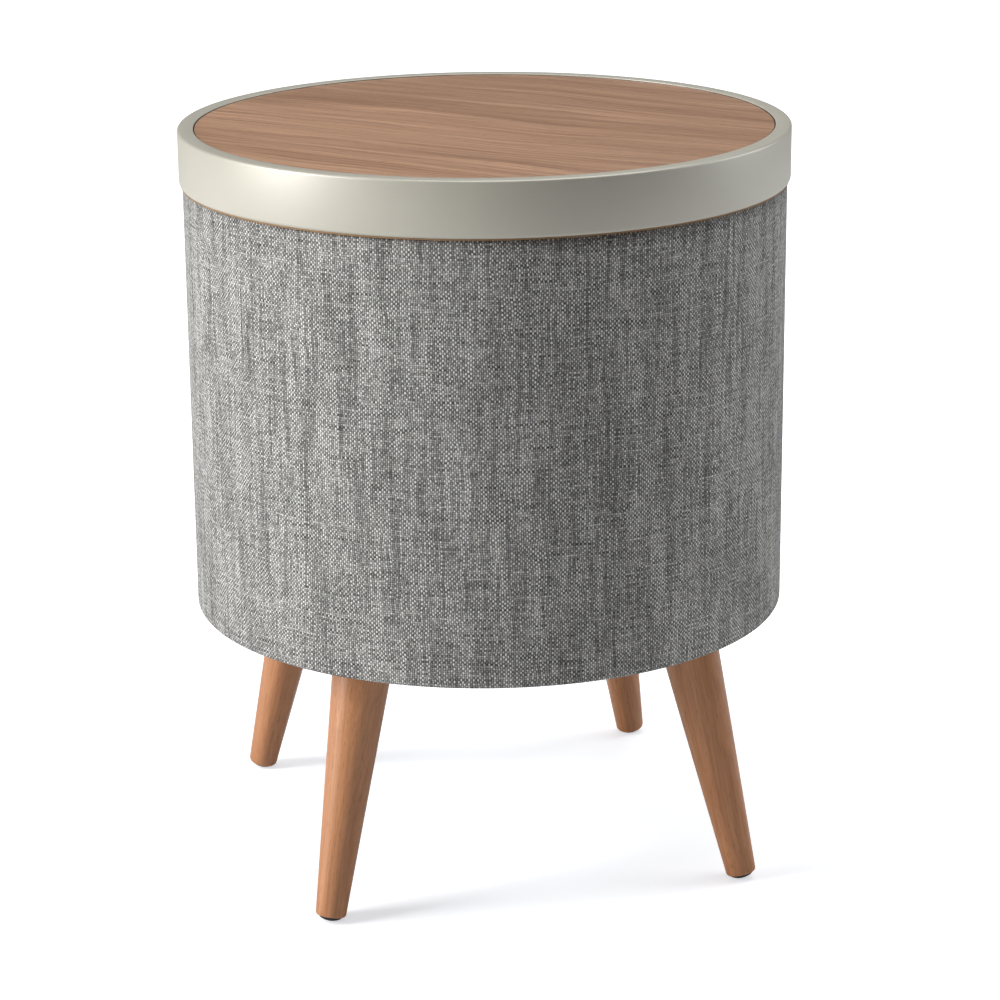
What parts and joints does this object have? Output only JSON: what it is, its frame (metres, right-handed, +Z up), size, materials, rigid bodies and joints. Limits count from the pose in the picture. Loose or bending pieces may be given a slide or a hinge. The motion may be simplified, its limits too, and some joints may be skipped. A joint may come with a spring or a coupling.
{
  "type": "smart speaker side table",
  "caption": "Round side table with a speaker cabinet wrapped in woven grey cloth, a silver rim around a walnut top with a charging spot, splayed tapered legs and a rear control panel.",
  "frame": {"origin": "on the floor, under the middle of the round top", "axes": "+Z up, +Y towards the rear control panel, -Y the front, legs at 45 degrees between the axes"},
  "size_m": [0.41, 0.41, 0.504],
  "materials": {
    "walnut_veneer": "open-grained satin lacquer",
    "silver_paint": "satin silver paint",
    "fibreboard": "bare fibreboard",
    "bent_plywood": "bare plywood",
    "grey_weave": "plain-woven melange cloth",
    "stained_beech": "stained and satin lacquered",
    "black_moulding": "fine spark texture",
    "foot_plastic": "smooth matte",
    "button_plastic": "satin",
    "zinc_steel": "bright zinc plate",
    "black_steel": "black powder coat",
    "ferrite": "sintered, matte",
    "cone_paper": "pressed paper",
    "black_rubber": "moulded, matte",
    "copper_wire": "lacquered wire",
    "circuit_board": "solder mask",
    "bare_aluminium": "extruded",
    "lead_sheath": "matte sheath",
    "clear_lens": "frosted light pipe"
  },
  "bodies": {
    "cabinet": {"tabletop_panel": "walnut_veneer", "top_rim": "silver_paint", "top_carrier_board": "fibreboard", "cleat_ring": "fibreboard", "base_board": "fibreboard", "cabinet_drum": "bent_plywood", "left_driver_ring": "bent_plywood", "right_driver_ring": "bent_plywood", "fabric_sleeve": "grey_weave", "leg_front_left": "stained_beech", "leg_front_right": "stained_beech", "leg_back_right": "stained_beech", "leg_back_left": "stained_beech", "charger_housing": "black_moulding", "bottom_cover": "black_moulding", "port_tube": "black_moulding", "rear_panel": "black_moulding", "mains_inlet": "black_moulding", "aux_jack": "black_moulding", "usb_ports": "black_moulding", "power_supply": "black_moulding", "board_standoffs": "black_moulding", "leg_glides": "foot_plastic", "leg_plates": "zinc_steel", "leg_hanger_bolts": "zinc_steel", "leg_plate_screws": "zinc_steel", "base_screws": "zinc_steel", "top_screws": "zinc_steel", "charger_screws": "zinc_steel", "driver_screws": "zinc_steel", "sub_basket": "black_steel", "sub_grille": "black_steel", "left_driver_basket": "black_steel", "right_driver_basket": "black_steel", "sub_magnet": "ferrite", "left_driver_magnet": "ferrite", "right_driver_magnet": "ferrite", "charger_ferrite": "ferrite", "sub_spider": "cone_paper", "sub_surround": "black_rubber", "left_driver_surround": "black_rubber", "right_driver_surround": "black_rubber", "charger_coil": "copper_wire", "charger_board": "circuit_board", "control_board": "circuit_board", "amplifier_board": "circuit_board", "amplifier_heatsink": "bare_aluminium", "speaker_leads": "lead_sheath", "charger_lead": "lead_sheath", "mains_lead": "lead_sheath", "status_lens": "clear_lens"},
    "power_button": {"power_button": "button_plastic"},
    "pairing_button": {"pairing_button": "button_plastic"},
    "volume_down_button": {"volume_down_button": "button_plastic"},
    "play_button": {"play_button": "button_plastic"},
    "volume_up_button": {"volume_up_button": "button_plastic"},
    "sub_cone_and_coil": {"sub_cone": "cone_paper", "sub_dust_cap": "cone_paper"},
    "left_cone_and_coil": {"left_driver_cone": "cone_paper"},
    "right_cone_and_coil": {"right_driver_cone": "cone_paper"}
  },
  "joints": [
    {"name": "power_press", "type": "slide", "parent": "cabinet", "child": "power_button", "axis": [0, -1, 0], "range_m": [0, 0.001], "stiffness_N_per_m": 500, "springref_m": -0.001},
    {"name": "pairing_press", "type": "slide", "parent": "cabinet", "child": "pairing_button", "axis": [0, -1, 0], "range_m": [0, 0.001], "stiffness_N_per_m": 500, "springref_m": -0.001},
    {"name": "volume_down_press", "type": "slide", "parent": "cabinet", "child": "volume_down_button", "axis": [0, -1, 0], "range_m": [0, 0.001], "stiffness_N_per_m": 500, "springref_m": -0.001},
    {"name": "play_press", "type": "slide", "parent": "cabinet", "child": "play_button", "axis": [0, -1, 0], "range_m": [0, 0.001], "stiffness_N_per_m": 500, "springref_m": -0.001},
    {"name": "volume_up_press", "type": "slide", "parent": "cabinet", "child": "volume_up_button", "axis": [0, -1, 0], "range_m": [0, 0.001], "stiffness_N_per_m": 500, "springref_m": -0.001},
    {"name": "sub_cone_travel", "type": "slide", "parent": "cabinet", "child": "sub_cone_and_coil", "axis": [0, 0, -1], "range_m": [-0.004, 0.004], "stiffness_N_per_m": 3000, "deforming": ["sub_surround", "sub_spider"]},
    {"name": "left_cone_travel", "type": "slide", "parent": "cabinet", "child": "left_cone_and_coil", "axis": [-1, 0, 0], "range_m": [-0.0025, 0.0025], "stiffness_N_per_m": 2000, "deforming": ["left_driver_surround"]},
    {"name": "right_cone_travel", "type": "slide", "parent": "cabinet", "child": "right_cone_and_coil", "axis": [1, 0, 0], "range_m": [-0.0025, 0.0025], "stiffness_N_per_m": 2000, "deforming": ["right_driver_surround"]}
  ]
}
